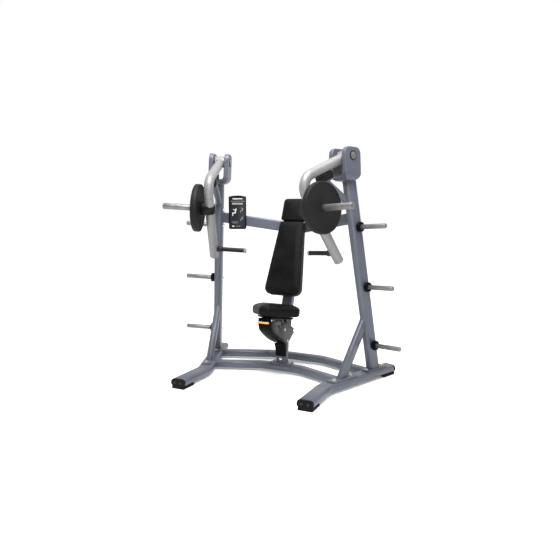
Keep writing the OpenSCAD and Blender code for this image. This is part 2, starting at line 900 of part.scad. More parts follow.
// Amber paddle across the shroud's front, on two arms that turn on the shaft
module release_lever() {
    color(amber_colour) {
        translate([-48, -203, lever_at[1] + 2]) along_x(96) rounded(16, 15, 6);
        difference() {
            for (s = [-1, 1]) translate([s * 26 - 4, 0, 0]) along_x(8) {
                bore_at(lever_at, 11);
                translate([-197, lever_at[1] - 4]) square([-lever_at[0] - 146 + 51, 10]);
            }
            translate([-60, 0, 0]) along_x(120) bore_at(lever_at, 6 + running);
        }
    }
}

// ---------- every node ----------

module placed() {
    translate([0, -middle_y, 0]) children();
}

placed() rail(right);  // rail_right
placed() rail(left);  // rail_left
placed() front_crossbar();
placed() rear_crossbar();
placed() rail_end_caps();
placed() foot_pads();
placed() base_plates();
placed() upright(right);  // upright_right
placed() upright(left);  // upright_left
placed() brace(right);  // brace_right
placed() brace(left);  // brace_left
placed() yoke(right);  // yoke_right
placed() yoke(left);  // yoke_left
placed() upper_crossbeam();
placed() stop_brackets();
placed() stop_bumpers();
placed() storage_pegs();
placed() peg_collars();
placed() frame_bolts();
placed() seat_tower();
placed() back_post();
placed() lower_shroud();
placed() pad_brackets();
placed() pad_boards();
placed() back_pad();
placed() head_pad();
placed() placard_frame();
placed() placard_panel();
placed() pivot_pins();
placed() pivot_caps();
placed() link_bracket();
placed() link_ground_pins();
placed() arm_tube(right);  // arm_tube_right
placed() hub_bushes(right);  // hub_bushes_right
placed() arm_end_cap(right);  // arm_end_cap_right
placed() horn(right);  // horn_right
placed() horn_saddle(right);  // horn_saddle_right
placed() grip_rod(right);  // grip_rod_right
placed() grip_sleeve(right);  // grip_sleeve_right
placed() grip_cap(right);  // grip_cap_right
placed() weight_plate(right);  // weight_plate_right
placed() arm_tube(left);  // arm_tube_left
placed() hub_bushes(left);  // hub_bushes_left
placed() arm_end_cap(left);  // arm_end_cap_left
placed() horn(left);  // horn_left
placed() horn_saddle(left);  // horn_saddle_left
placed() grip_rod(left);  // grip_rod_left
placed() grip_sleeve(left);  // grip_sleeve_left
placed() grip_cap(left);  // grip_cap_left
placed() weight_plate(left);  // weight_plate_left
placed() upper_link();
placed() lower_link();
placed() seat_pad();
placed() seat_board();
placed() seat_side_plates();
placed() seat_shroud();
placed() carriage_pins();
placed() release_lever();
placed() lever_shaft();
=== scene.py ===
"""Looks of a plate-loaded seated press machine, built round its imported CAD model."""
import json
import math

import bmesh
import bpy
from mathutils import Matrix, Vector
from mathutils.bvhtree import BVHTree
from mathutils.geometry import convex_hull_2d


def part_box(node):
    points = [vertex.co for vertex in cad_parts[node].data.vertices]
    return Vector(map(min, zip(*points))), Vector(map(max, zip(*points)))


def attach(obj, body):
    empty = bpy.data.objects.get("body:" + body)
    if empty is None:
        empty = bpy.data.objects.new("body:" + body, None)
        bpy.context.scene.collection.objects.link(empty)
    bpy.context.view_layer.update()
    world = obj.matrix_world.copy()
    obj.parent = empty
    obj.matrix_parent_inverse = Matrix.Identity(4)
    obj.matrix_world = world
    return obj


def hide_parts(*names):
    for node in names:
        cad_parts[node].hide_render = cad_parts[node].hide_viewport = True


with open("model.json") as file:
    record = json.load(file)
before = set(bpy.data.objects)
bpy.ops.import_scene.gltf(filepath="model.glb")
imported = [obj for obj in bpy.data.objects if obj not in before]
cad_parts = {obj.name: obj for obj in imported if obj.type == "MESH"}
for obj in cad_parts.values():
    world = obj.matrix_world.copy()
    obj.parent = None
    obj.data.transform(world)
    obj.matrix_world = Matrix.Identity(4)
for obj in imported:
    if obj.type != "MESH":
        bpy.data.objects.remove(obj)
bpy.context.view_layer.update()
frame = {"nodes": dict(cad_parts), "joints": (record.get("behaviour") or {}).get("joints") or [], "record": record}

NODES = frame["nodes"]
SLOTS = {s["node"]: s["material_slot"] for s in frame["record"]["subparts"]}
MM = 0.001
SIDES = (("right", 1), ("left", -1))      # name and sign of x
SAME_PLACE = 1e-5                         # vertices closer than this are one corner
HELD_BACK = 0.004                         # depth of a cover's back that is fixed to its board
CLOTH_FRAMES = 20
WELD_REACH = 0.0008                       # gap across which a tube counts as meeting its base
BEAD_POINTS = 24                          # points in half of a weld bead's ring
SIDE_FACE = 0.0540                        # x of the seat carriage's outer faces
PIVOT_FACE = 0.084                        # from a pivot's middle to the outside of its yoke
SHOE_X = 0.5432                           # x of the middle of a rail's front end

# Looks that a CAD node has in place of its record slot's.
LOOKS = {
    "seat_shroud": "shroud", "lower_shroud": "shroud", "peg_collars": "shroud",
    "placard_frame": "shroud", "frame_bolts": "zinc", "lever_shaft": "zinc",
    "carriage_pins": "side_plate", "stop_bumpers": "black_plastic",
    "grip_sleeve_right": "black_plastic", "grip_sleeve_left": "black_plastic"}
REPLACED = {
    "back_pad", "head_pad", "seat_pad", "seat_board", "yoke_right", "yoke_left",
    "rail_end_caps", "foot_pads"}


# ---------- camera, light and floor ----------

def make_camera(place, down, turn, lens):
    """A camera that looks down and is turned left by the given degrees."""
    data = bpy.data.cameras.new("camera")
    data.sensor_width = 36
    data.lens = lens
    camera = bpy.data.objects.new("camera", data)
    camera.location = place
    camera.rotation_euler = (math.radians(90 - down), 0, math.radians(turn))
    bpy.context.collection.objects.link(camera)
    bpy.context.scene.camera = camera


def area_light(name, place, target, size, watts):
    data = bpy.data.lights.new(name, "AREA")
    data.shape = "DISK"
    data.size = size
    data.energy = watts
    light = bpy.data.objects.new(name, data)
    light.location = place
    aim = Vector(target) - Vector(place)
    light.rotation_euler = aim.to_track_quat("-Z", "Y").to_euler()
    bpy.context.collection.objects.link(light)


def make_world():
    """A white backdrop all round; the light from the front camera's side is greyer."""
    world = bpy.data.worlds.new("studio")
    bpy.context.scene.world = world
    world.use_nodes = True
    tree = world.node_tree
    background = tree.nodes["Background"]
    place = tree.nodes.new("ShaderNodeTexCoord")
    towards = tree.nodes.new("ShaderNodeVectorMath")
    towards.operation = "DOT_PRODUCT"
    towards.inputs[1].default_value = (-0.43, 0.90, 0.25)
    tree.links.new(place.outputs["Generated"], towards.inputs[0])
    share = range_node(tree, towards.outputs["Value"], 0, 1, -1, 1)
    sky = ramp_node(tree, share, (0.15, 0.155, 0.165), (1, 1, 1), 0.32, 0.62)
    tree.links.new(sky, background.inputs["Color"])
    backdrop = tree.nodes.new("ShaderNodeBackground")
    backdrop.inputs["Color"].default_value = (1, 1, 1, 1)
    seen = tree.nodes.new("ShaderNodeLightPath")
    mix = tree.nodes.new("ShaderNodeMixShader")
    tree.links.new(seen.outputs["Is Camera Ray"], mix.inputs["Fac"])
    tree.links.new(background.outputs["Background"], mix.inputs[1])
    tree.links.new(backdrop.outputs["Background"], mix.inputs[2])
    tree.links.new(mix.outputs["Shader"], tree.nodes["World Output"].inputs["Surface"])


def make_floor(half=40):
    """A white floor that glows more further out, so that it meets the backdrop unseen."""
    mesh = bpy.data.meshes.new("floor")
    mesh.from_pydata([(-half, -half, 0), (half, -half, 0), (half, half, 0), (-half, half, 0)], [],
                     [(0, 1, 2, 3)])
    floor = bpy.data.objects.new("floor", mesh)
    bpy.context.collection.objects.link(floor)
    material = plain_material("floor_white", (0.90, 0.90, 0.90), 0.8, Emission_Color=(1, 1, 1, 1),
                              Specular_IOR_Level=0.0)
    tree = material.node_tree
    place = tree.nodes.new("ShaderNodeTexCoord")
    away = tree.nodes.new("ShaderNodeVectorMath")
    away.operation = "LENGTH"
    tree.links.new(place.outputs["Object"], away.inputs[0])
    glow = range_node(tree, away.outputs["Value"], 0.17, 0.50, 1.2, 5.0)
    tree.links.new(glow, tree.nodes["Principled BSDF"].inputs["Emission Strength"])
    mesh.materials.append(material)


# ---------- materials ----------

def plain_material(name, colour, roughness, **sockets):
    """A material with its constant values on the shader's own sockets."""
    material = bpy.data.materials.new(name)
    material.use_nodes = True
    shader = material.node_tree.nodes["Principled BSDF"]
    shader.inputs["Base Color"].default_value = (*colour, 1)
    shader.inputs["Roughness"].default_value = roughness
    for socket, value in sockets.items():
        shader.inputs[socket.replace("_", " ")].default_value = value
    return material


def noise_node(tree, scale, detail, stretch=(1, 1, 1)):
    place = tree.nodes.new("ShaderNodeTexCoord")
    mapping = tree.nodes.new("ShaderNodeMapping")
    mapping.inputs["Scale"].default_value = stretch
    texture = tree.nodes.new("ShaderNodeTexNoise")
    texture.inputs["Scale"].default_value = scale
    texture.inputs["Detail"].default_value = detail
    tree.links.new(place.outputs["Object"], mapping.inputs["Vector"])
    tree.links.new(mapping.outputs["Vector"], texture.inputs["Vector"])
    return texture.outputs["Fac"]


def cells_node(tree, scale):
    """Distance to the nearest edge between grain cells."""
    place = tree.nodes.new("ShaderNodeTexCoord")
    texture = tree.nodes.new("ShaderNodeTexVoronoi")
    texture.feature = "DISTANCE_TO_EDGE"
    texture.inputs["Scale"].default_value = scale
    tree.links.new(place.outputs["Object"], texture.inputs["Vector"])
    return texture.outputs["Distance"]


def ramp_node(tree, factor, low, high, start=0.35, end=0.65):
    """Colours from low to high as the factor goes from start to end."""
    ramp = tree.nodes.new("ShaderNodeValToRGB")
    ramp.color_ramp.elements[0].position = start
    ramp.color_ramp.elements[0].color = (*low, 1)
    ramp.color_ramp.elements[1].position = end
    ramp.color_ramp.elements[1].color = (*high, 1)
    tree.links.new(factor, ramp.inputs["Fac"])
    return ramp.outputs["Color"]


def range_node(tree, factor, low, high, start=0.3, end=0.7):
    scale = tree.nodes.new("ShaderNodeMapRange")
    scale.inputs["From Min"].default_value = start
    scale.inputs["From Max"].default_value = end
    scale.inputs["To Min"].default_value = low
    scale.inputs["To Max"].default_value = high
    tree.links.new(factor, scale.inputs["Value"])
    return scale.outputs["Result"]


def bump(tree, height, strength, distance, under=None):
    node = tree.nodes.new("ShaderNodeBump")
    node.inputs["Strength"].default_value = strength
    node.inputs["Distance"].default_value = distance
    tree.links.new(height, node.inputs["Height"])
    if under:
        tree.links.new(under, node.inputs["Normal"])
    return node.outputs["Normal"]


def tinted(name, low, high, roughness, grain=900, grain_depth=0.1, patch=5, **sockets):
    """Colour and roughness that vary in soft patches, over a fine surface grain."""
    material = plain_material(name, high, roughness[1], **sockets)
    tree = material.node_tree
    shader = tree.nodes["Principled BSDF"]
    patches = noise_node(tree, patch, 5)
    fine = noise_node(tree, grain, 2)
    tree.links.new(ramp_node(tree, patches, low, high), shader.inputs["Base Color"])
    tree.links.new(range_node(tree, patches, *roughness), shader.inputs["Roughness"])
    tree.links.new(bump(tree, fine, grain_depth, 0.0006), shader.inputs["Normal"])
    return material


def powder_coat(name, low, high, roughness, metallic):
    """Metallic powder coat: fine bright flakes, orange peel and slight patches of wear."""
    material = plain_material(name, high, roughness, Metallic=metallic, Coat_Weight=0.05,
                              Coat_Roughness=0.3, Specular_IOR_Level=0.35)
    tree = material.node_tree
    shader = tree.nodes["Principled BSDF"]
    patches = noise_node(tree, 3.5, 6)
    flakes = noise_node(tree, 1600, 1)
    peel = noise_node(tree, 420, 3)
    mix = tree.nodes.new("ShaderNodeMix")
    mix.data_type = "RGBA"
    mix.blend_type = "MULTIPLY"
    mix.inputs["Factor"].default_value = 1
    tree.links.new(ramp_node(tree, patches, low, high), mix.inputs["A"])
    tree.links.new(ramp_node(tree, flakes, (0.86, 0.86, 0.87), (1, 1, 1), 0.4, 0.7),
                   mix.inputs["B"])
    tree.links.new(mix.outputs["Result"], shader.inputs["Base Color"])
    tree.links.new(range_node(tree, patches, roughness - 0.05, roughness + 0.06),
                   shader.inputs["Roughness"])
    tree.links.new(bump(tree, peel, 0.12, 0.0005), shader.inputs["Normal"])
    return material


def turned_steel():
    """Zinc-plated bar with fine turning marks and dull patches."""
    material = plain_material("turned_steel", (0.20, 0.197, 0.19), 0.44, Metallic=0.70)
    tree = material.node_tree
    shader = tree.nodes["Principled BSDF"]
    marks = noise_node(tree, 260, 4, (6, 1, 1))
    patches = noise_node(tree, 14, 5)
    tree.links.new(ramp_node(tree, patches, (0.16, 0.158, 0.153), (0.215, 0.212, 0.206)),
                   shader.inputs["Base Color"])
    tree.links.new(range_node(tree, marks, 0.36, 0.50), shader.inputs["Roughness"])
    tree.links.new(bump(tree, marks, 0.12, 0.0003), shader.inputs["Normal"])
    return material


def vinyl():
    """Black upholstery vinyl: pebble grain, faint creases and rubbed patches."""
    material = plain_material("black_vinyl", (0.006, 0.006, 0.0062), 0.46, Sheen_Weight=0.02,
                              Sheen_Roughness=0.4, Specular_IOR_Level=0.10)
    tree = material.node_tree
    shader = tree.nodes["Principled BSDF"]
    patches = noise_node(tree, 7, 5)
    creases = noise_node(tree, 38, 4)
    grain = cells_node(tree, 520)
    tree.links.new(ramp_node(tree, patches, (0.0025, 0.0025, 0.0026), (0.0048, 0.0048, 0.005)),
                   shader.inputs["Base Color"])
    tree.links.new(range_node(tree, patches, 0.40, 0.54), shader.inputs["Roughness"])
    soft = bump(tree, creases, 0.10, 0.002)
    tree.links.new(bump(tree, grain, 0.35, 0.0006, soft), shader.inputs["Normal"])
    return material


def make_materials():
    return {
        "frame_paint": powder_coat("slate_powder_coat", (0.088, 0.096, 0.121),
                                   (0.112, 0.121, 0.148), 0.42, 0.30),
        "arm_paint": powder_coat("silver_powder_coat", (0.20, 0.20, 0.197),
                                 (0.24, 0.24, 0.237), 0.44, 0.30),
        "black_paint": tinted("black_satin_paint", (0.006, 0.006, 0.006), (0.010, 0.010, 0.010),
                              (0.36, 0.44), 700, 0.12, Specular_IOR_Level=0.25),
        "steel": turned_steel(),
        "bronze": tinted("sintered_bronze", (0.34, 0.22, 0.10), (0.44, 0.30, 0.15), (0.35, 0.5),
                         1500, 0.2, 30, Metallic=1),
        "rubber": tinted("black_rubber", (0.006, 0.006, 0.006), (0.0095, 0.0095, 0.0095),
                         (0.46, 0.60), 800, 0.25, Specular_IOR_Level=0.14),
        "black_plastic": tinted("black_plastic", (0.004, 0.004, 0.004), (0.007, 0.007, 0.007),
                                (0.34, 0.44), 1100, 0.25, Specular_IOR_Level=0.15),
        "shroud": tinted("black_shroud", (0.0015, 0.0015, 0.0015), (0.003, 0.003, 0.003),
                         (0.42, 0.52), 900, 0.15, Specular_IOR_Level=0.05),
        "shoe": tinted("black_shoe", (0.003, 0.003, 0.003), (0.005, 0.005, 0.005),
                       (0.44, 0.56), 700, 0.2, Specular_IOR_Level=0.10),
        "zinc": tinted("bright_zinc", (0.50, 0.50, 0.49), (0.66, 0.66, 0.65), (0.25, 0.36), 500,
                       0.10, 60, Metallic=0.9),
        "side_plate": tinted("grey_satin_paint", (0.017, 0.017, 0.018), (0.025, 0.025, 0.026),
                             (0.40, 0.50), 700, 0.12, Specular_IOR_Level=0.25),
        "vinyl": vinyl(),
        "amber": tinted("amber_plastic", (0.56, 0.30, 0.07), (0.66, 0.38, 0.11), (0.30, 0.42), 600,
                        0.08, 25),
        "placard": tinted("placard_print", (0.010, 0.0105, 0.012), (0.020, 0.021, 0.024),
                          (0.25, 0.34), 200, 0.02, 9, Specular_IOR_Level=0.12),
        "print_light": tinted("light_print", (0.55, 0.54, 0.51), (0.66, 0.65, 0.62), (0.3, 0.4),
                              300, 0.02, 20),
        "print_dim": tinted("dim_print", (0.20, 0.20, 0.21), (0.27, 0.27, 0.28), (0.3, 0.4), 300,
                            0.02, 20),
        "thread": tinted("black_thread", (0.018, 0.018, 0.019), (0.028, 0.028, 0.029), (0.5, 0.6),
                         900, 0.3, 60, Specular_IOR_Level=0.3),
    }


# ---------- shared mesh work ----------

def add_object(name, mesh, look, body, smooth=True):
    """A new piece with one of the looks, which rides on a body."""
    piece = bpy.data.objects.new(name, mesh)
    bpy.context.collection.objects.link(piece)
    mesh.materials.clear()
    mesh.materials.append(MATERIALS[look])
    if smooth:
        mesh.polygons.foreach_set("use_smooth", [True] * len(mesh.polygons))
    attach(piece, body)
    return piece


def welded_copy(*nodes, keep=None):
    """One mesh of the nodes with doubled vertices merged, or of the part that keep() allows."""
    work = bmesh.new()
    for node in nodes:
        work.from_mesh(NODES[node].data)
    bmesh.ops.remove_doubles(work, verts=work.verts, dist=SAME_PLACE)
    if keep:
        others = [v for v in work.verts if not keep(v.co)]
        bmesh.ops.delete(work, geom=others, context="VERTS")
    mesh = bpy.data.meshes.new("_".join(nodes))
    work.to_mesh(mesh)
    work.free()
    return mesh


def evaluated(obj):
    """The object's mesh with its modifiers applied; the modifiers are removed."""
    graph = bpy.context.evaluated_depsgraph_get()
    graph.update()
    mesh = bpy.data.meshes.new_from_object(obj.evaluated_get(graph))
    obj.modifiers.clear()
    return mesh


def finished(name, work):
    """The work as a new mesh whose faces all look outwards."""
    bmesh.ops.recalc_face_normals(work, faces=work.faces)
    mesh = bpy.data.meshes.new(name)
    work.to_mesh(mesh)
    work.free()
    return mesh


def axes(across, up, out, origin):
    """A matrix whose own x, y and z run along three directions from an origin."""
    return Matrix(((across[0], up[0], out[0], origin[0]), (across[1], up[1], out[1], origin[1]),
                   (across[2], up[2], out[2], origin[2]), (0, 0, 0, 1)))


def vertex_ring(work, centre, side, other, radius, sides):
    """New vertices evenly round a centre, in the plane of two directions."""
    angles = [2 * math.pi * k / sides for k in range(sides)]
    return [work.verts.new(centre + radius * (math.cos(a) * side + math.sin(a) * other))
            for a in angles]


def round_rims(mesh, radius, segments):
    """Rounds the rims of a slab."""
    work = bmesh.new()
    work.from_mesh(mesh)
    bmesh.ops.dissolve_limit(work, angle_limit=math.radians(1), verts=work.verts,
                             edges=work.edges)
    rims = [e for e in work.edges if e.calc_face_angle(0) > math.radians(60)]
    bmesh.ops.bevel(work, geom=rims, offset=radius, segments=segments, affect="EDGES",
                    profile=0.5)
    work.to_mesh(mesh)
    work.free()


def remeshed(mesh, voxel):
    holder = bpy.data.objects.new("holder", mesh)
    bpy.context.collection.objects.link(holder)
    modifier = holder.modifiers.new("remesh", "REMESH")
    modifier.mode = "VOXEL"
    modifier.voxel_size = voxel
    result = evaluated(holder)
    bpy.data.objects.remove(holder)
    return result


def smoothed(mesh, rounds):
    work = bmesh.new()
    work.from_mesh(mesh)
    for _ in range(rounds):
        bmesh.ops.smooth_vert(work, verts=work.verts, factor=0.5, use_axis_x=True,
                              use_axis_y=True, use_axis_z=True)
    work.to_mesh(mesh)
    work.free()
    return mesh


def tree_of(mesh):
    return BVHTree.FromPolygons([v.co.copy() for v in mesh.vertices],
                                [tuple(p.vertices) for p in mesh.polygons])


def resampled(points, step):
    """Points at an even step round a closed path."""
    path = [*points, points[0]]
    lengths = [0.0]
    for a, b in zip(path, path[1:]):
        lengths.append(lengths[-1] + (b - a).length)
    count = max(3, round(lengths[-1] / step))
    result = []
    segment = 0
    for i in range(count):
        along = lengths[-1] * i / count
        while segment < len(path) - 2 and lengths[segment + 1] < along:
            segment += 1
        span = lengths[segment + 1] - lengths[segment] or 1.0
        result.append(path[segment].lerp(path[segment + 1], (along - lengths[segment]) / span))
    return result


def tube_mesh(name, points, radius, closed=True, sides=8, ripple=0.0, pitch=0.006):
    """A round tube through the points, with weld-like ripples if asked for."""
    work = bmesh.new()
    count = len(points)
    rings = []
    along = 0.0
    side = None
    for i, point in enumerate(points):
        after = points[(i + 1) % count] if closed or i < count - 1 else point
        before = points[i - 1] if closed or i > 0 else point
        ahead = (after - before).normalized()
        if side is None:
            side = ahead.orthogonal().normalized()
        side = (side - ahead * side.dot(ahead)).normalized()
        other = ahead.cross(side)
        along += (point - before).length
        r = radius * (1 + ripple * math.sin(2 * math.pi * along / pitch))
        rings.append(vertex_ring(work, point, side, other, r, sides))
    pairs = list(zip(rings, rings[1:])) + ([(rings[-1], rings[0])] if closed else [])
    for a, b in pairs:
        shift = 0
        if closed and a is rings[-1]:
            shift = min(range(sides), key=lambda s: (a[0].co - b[s].co).length)
        for k in range(sides):
            l = (k + 1) % sides
            work.faces.new((a[k], a[l], b[(l + shift) % sides], b[(k + shift) % sides]))
    if not closed:
        work.faces.new(rings[0][::-1])
        work.faces.new(rings[-1])
    return finished(name, work)


def turned_mesh(name, place, axis, profile, sides=48):
    """A lathe shape: profile points are (radius, distance along the axis), in metres."""
    axis = Vector(axis).normalized()
    side = axis.orthogonal().normalized()
    other = axis.cross(side)
    work = bmesh.new()
    rings = []
    for radius, along in profile:
        centre = Vector(place) + axis * along
        if radius < 1e-6:
            rings.append([work.verts.new(centre)] * sides)
            continue
        rings.append(vertex_ring(work, centre, side, other, radius, sides))
    for a, b in zip(rings, rings[1:]):
        for k in range(sides):
            l = (k + 1) % sides
            corners = []
            for vert in (a[k], a[l], b[l], b[k]):
                if vert not in corners:
                    corners.append(vert)
            if len(corners) > 2:
                work.faces.new(corners)
    return finished(name, work)


def dress_cad(node):
    """Material and softened edges for a CAD node that stays in view."""
    piece = NODES[node]
    look = LOOKS.get(node, SLOTS[node])
    piece.data.materials.clear()
    piece.data.materials.append(MATERIALS[look])
    piece.data.polygons.foreach_set("use_smooth", [True] * len(piece.data.polygons))
    weld = piece.modifiers.new("weld", "WELD")
    weld.merge_threshold = SAME_PLACE
    edge = piece.modifiers.new("edges", "BEVEL")
    edge.width = 0.0012
    edge.segments = 2
    edge.limit_method = "ANGLE"
    edge.angle_limit = math.radians(34)
    edge.harden_normals = True


# ---------- pads ----------

def lean_frame(node):
    """Axes of a leaning slab: x across, y up along it and z out of its front, from its faces."""
    mesh = NODES[node].data
    totals = {}
    for face in mesh.polygons:
        if abs(face.normal.x) < 0.01:
            key = (round(face.normal.y, 2), round(face.normal.z, 2))
            totals[key] = totals.get(key, 0) + face.area
    best = max(totals, key=totals.get)
    front = Vector((0, *best)).normalized()
    if front.y > 0 and abs(front.y) > abs(front.z) or front.z < 0 and abs(front.z) > abs(front.y):
        front = -front
    across = Vector((1, 0, 0))
    up = front.cross(across)
    low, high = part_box(node)
    return axes(across, up, front, (low + high) / 2)


def outline_of(mesh):
    """Convex outline of a slab's mesh in its own x and y."""
    flat = [v.co.xy for v in mesh.vertices]
    return [flat[i] for i in convex_hull_2d(flat)]


def inflate(mesh, held, cap, pressure=4.0):
    """Lets the cover swell like cloth under pressure, no point further than the cap."""
    rest = [v.co.copy() for v in mesh.vertices]
    holder = bpy.data.objects.new("cover", mesh)
    bpy.context.collection.objects.link(holder)
    group = holder.vertex_groups.new(name="held")
    for index, weight in held.items():
        group.add([index], weight, "REPLACE")
    cloth = holder.modifiers.new("cloth", "CLOTH")
    settings = cloth.settings
    settings.quality = 5
    settings.mass = 0.3
    settings.tension_stiffness = 12
    settings.compression_stiffness = 12
    settings.shear_stiffness = 6
    settings.bending_stiffness = 1.5
    settings.use_pressure = True
    settings.uniform_pressure_force = pressure
    settings.vertex_group_mass = "held"
    settings.effector_weights.gravity = 0
    cloth.collision_settings.use_collision = False
    scene = bpy.context.scene
    for step in range(1, CLOTH_FRAMES + 1):
        scene.frame_set(step)
    result = evaluated(holder)
    scene.frame_set(1)
    for vert, start in zip(result.vertices, rest):
        move = vert.co - start
        if move.length > cap:
            vert.co = start + move.normalized() * cap
    bpy.data.objects.remove(holder)
    return result


def stuffed_pad(name, node, body, shrink, round_r, cap, seams, voxel=0.0055):
    """A padded cover grown from a slab; its seams hold it in at heights in the slab's own z.

    The pad that it returns is the slab's axes, its outline and a tree of the cover's surface.
    """
    place = lean_frame(node)
    mesh = welded_copy(node)
    mesh.transform(place.inverted())
    low = [min(v.co[i] for v in mesh.vertices) for i in range(3)]
    high = [max(v.co[i] for v in mesh.vertices) for i in range(3)]
    outline = outline_of(mesh)
    for vert in mesh.vertices:
        for i in range(3):
            middle = (low[i] + high[i]) / 2
            vert.co[i] = middle + (vert.co[i] - middle) * (1 - 2 * shrink / (high[i] - low[i]))
    round_rims(mesh, round_r, 5)
    cover = remeshed(mesh, voxel)
    back = low[2] + shrink
    held = {}
    for vert in cover.vertices:
        if vert.co.z - back < HELD_BACK:
            held[vert.index] = 1.0
        elif abs(vert.normal.z) < 0.75:
            if any(abs(vert.co.z - seam) < voxel * 0.55 for seam in seams):
                held[vert.index] = 0.97
    cover = inflate(cover, held, cap)
    for vert in cover.vertices:
        vert.co.z = max(vert.co.z, low[2])
    smoothed(cover, 1)
    surface = tree_of(cover)
    cover.transform(place)
    piece = add_object(name, cover, "vinyl", body)
    detail = piece.modifiers.new("detail", "SUBSURF")
    detail.levels = 1
    detail.render_levels = 1
    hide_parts(node)
    return place, outline, surface


def seam_path(outline, surface, height, step=0.004):
    """A closed path round the pad at a height, laid on its cover."""
    ring = [Vector((p.x, p.y, height)) for p in outline]
    path = []
    for point in resampled(ring, step):
        found = surface.find_nearest(point * 1.02)
        path.append(found[0] + found[1] * 0.0006)
    return path


def soften_path(path, rounds):
    for _ in range(rounds):
        path = [(path[i - 1] + path[i] * 2 + path[(i + 1) % len(path)]) / 4
                for i in range(len(path))]
    return path


def piping(name, pad, height, body, radius=0.0022):
    """A piped seam round the pad at a height."""
    place, outline, surface = pad
    path = soften_path(seam_path(outline, surface, height), 2)
    mesh = tube_mesh(name, path, radius)
    mesh.transform(place)
    add_object(name, mesh, "vinyl", body)


def corner_seam(name, pad, x, top, bottom, body, points=12):
    """A sewn seam down the side band at a corner of the seat's nose."""
    place, outline, surface = pad
    nose = min(p.y for p in outline)
    path = []
    for k in range(points):
        point = Vector((x, nose - 0.01, top - (top - bottom) * k / (points - 1)))
        found = surface.find_nearest(point)
        path.append(found[0] + found[1] * 0.0003)
    mesh = tube_mesh(name, path, 0.0014, closed=False)
    mesh.transform(place)
    add_object(name, mesh, "vinyl", body)


def stitches(name, pad, height, body, pitch=0.006, length=0.0036, radius=0.0005):
    """A row of stitches round the pad at a height."""
    place, outline, surface = pad
    path = soften_path(seam_path(outline, surface, height, pitch), 1)
    work = bmesh.new()
    for a, b in zip(path, path[1:] + path[:1]):
        ahead = (b - a).normalized()
        found = surface.find_nearest(a)
        up = found[1]
        side = ahead.cross(up).normalized()
        centre = found[0] + up * radius * 0.3
        rings = [vertex_ring(work, centre + ahead * length * t, side, up, swell * radius, 4)
                 for t, swell in ((-0.5, 0.45), (-0.25, 1), (0.25, 1), (0.5, 0.45))]
        for p, q in zip(rings, rings[1:]):
            for k in range(4):
                l = (k + 1) % 4
                work.faces.new((p[k], p[l], q[l], q[k]))
        work.faces.new(rings[0][::-1])
        work.faces.new(rings[-1])
    mesh = finished(name, work)
    mesh.transform(place)
    add_object(name, mesh, "thread", body)


def make_pads():
    for name, node in (("back_cushion", "back_pad"), ("head_cushion", "head_pad")):
        pad = stuffed_pad(name, node, "frame", shrink=0.004, round_r=0.012, cap=0.009,
                          seams=(0.027, -0.026))
        for label, height in (("front", 0.0285), ("rear", -0.026)):
            piping(f"{name}_{label}_piping", pad, height, "frame")
        stitches(f"{name}_stitches", pad, 0.0225, "frame")
    seat = stuffed_pad("seat_cushion", "seat_pad", "seat", shrink=0.006, round_r=0.030,
                       cap=0.014, seams=(0.019, -0.034))
    piping("seat_top_piping", seat, 0.021, "seat", 0.0018)
    piping("seat_bottom_piping", seat, -0.036, "seat", 0.0024)
    stitches("seat_stitches", seat, 0.015, "seat")
    for side, sign in SIDES:
        corner_seam(f"seat_corner_seam_{side}", seat, sign * 0.062, 0.021, -0.036, "seat")


def make_seat_board():
    """The seat's board, set back behind the rounded lower edge of its cushion."""
    mesh = welded_copy("seat_board")
    low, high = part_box("seat_board")
    centre = (low + high) / 2
    inset = Matrix.Diagonal((0.86, 0.90, 1, 1))
    mesh.transform(Matrix.Translation(centre) @ inset @ Matrix.Translation(-centre))
    round_rims(mesh, 0.002, 2)
    piece = add_object("seat_base_board", mesh, "shroud", "seat", False)
    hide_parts("seat_board")


# ---------- frame pieces ----------

def make_yokes():
    for side, _ in SIDES:
        mesh = smoothed(remeshed(welded_copy(f"yoke_{side}"), 0.003), 10)
        piece = add_object(f"yoke_casting_{side}", mesh, "frame_paint", "frame")
        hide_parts(f"yoke_{side}")


def make_shoes():
    """Each rail end's cap and foot, moulded in one."""
    for side, sign in SIDES:
        for end, front in (("front", -1), ("rear", 1)):
            mesh = welded_copy("rail_end_caps", "foot_pads",
                               keep=lambda co: co.x * sign > 0 and co.y * front > 0)
            mesh = smoothed(remeshed(mesh, 0.0025), 5)
            piece = add_object(f"rail_shoe_{end}_{side}", mesh, "shoe", "frame")
            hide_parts("rail_end_caps", "foot_pads")


def weld_bead(name, tube, base, keep=None):
    """A rippled bead round a tube where it meets its base."""
    surface = tree_of(NODES[base].data)
    points = {}
    for vert in NODES[tube].data.vertices:
        if keep and not keep(vert.co):
            continue
        found = surface.find_nearest(vert.co, WELD_REACH)
        if found[0] is not None:
            points[tuple(round(c, 5) for c in vert.co)] = vert.co.copy()
    points = list(points.values())
    centre = sum(points, Vector()) / len(points)
    spread = sorted(points, key=lambda p: -(p - centre).length)
    across = (spread[0] - centre).normalized()
    normal = max((across.cross(p - centre) for p in points), key=lambda n: n.length).normalized()
    other = normal.cross(across)
    bins = {}
    for p in points:
        d = p - centre
        turn = math.atan2(d.dot(other), d.dot(across))
        key = round(turn * BEAD_POINTS / math.pi)
        if key not in bins or d.length > bins[key][1].length:
            bins[key] = (turn, d)
    ring = [centre + d for turn, d in sorted(bins.values(), key=lambda b: b[0])]
    mesh = tube_mesh(name, resampled(ring, 0.003), 0.0028, ripple=0.14)
    add_object(name, mesh, "frame_paint", "frame")


